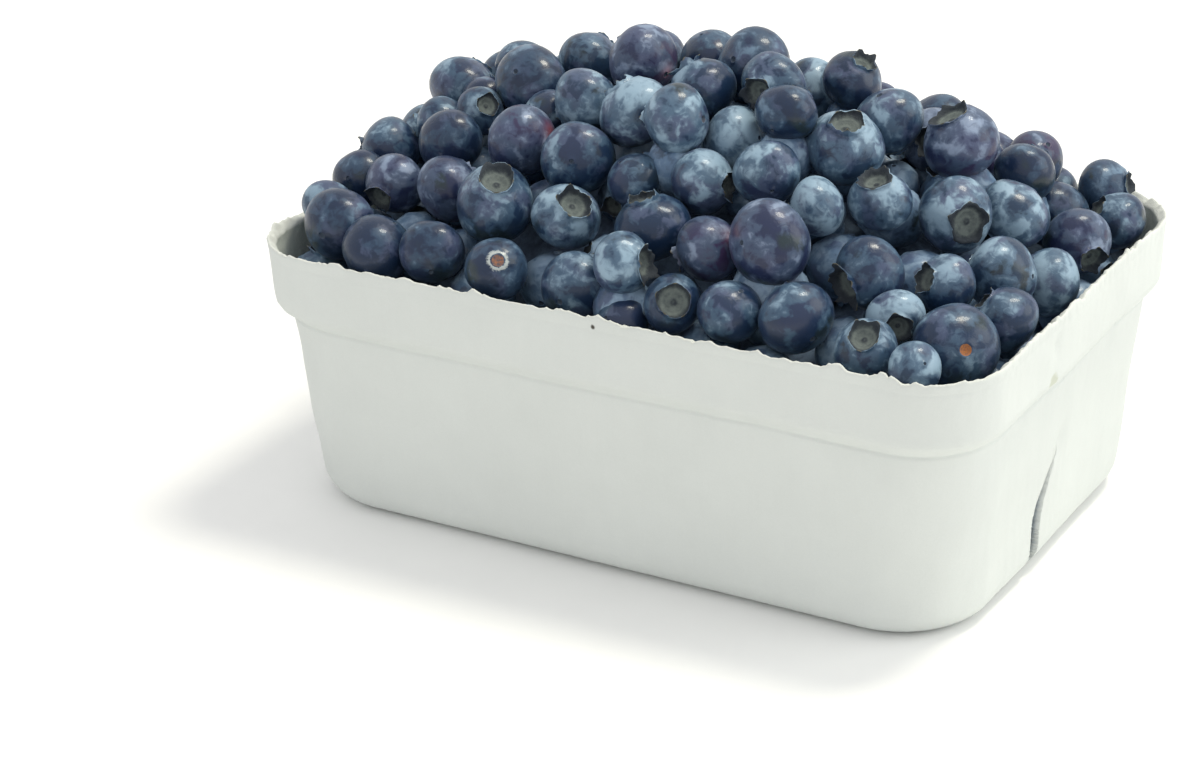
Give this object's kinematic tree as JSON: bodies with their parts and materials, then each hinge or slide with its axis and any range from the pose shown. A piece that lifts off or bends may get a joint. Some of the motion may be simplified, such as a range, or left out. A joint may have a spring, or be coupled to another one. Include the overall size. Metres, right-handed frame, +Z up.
{
  "type": "punnet of blueberries",
  "caption": "Rectangular moulded pulp punnet with an upright rim band and slit ends, heaped with fresh blueberries well above its rim.",
  "frame": {"origin": "the middle of the punnet's flat underside, on the surface it stands on", "axes": "+Z up, +X along the punnet's long side, +Y along its short side"},
  "size_m": [0.165, 0.113, 0.0974],
  "materials": {
    "moulded_pulp": "dry, fibrous, off-white moulded pulp with a cream torn rim",
    "berry_skin": "dark navy fruit skin under a patchy pale blue waxy bloom"
  },
  "bodies": {
    "root": {"punnet": "moulded_pulp", "berries": "berry_skin"}
  },
  "joints": []
}
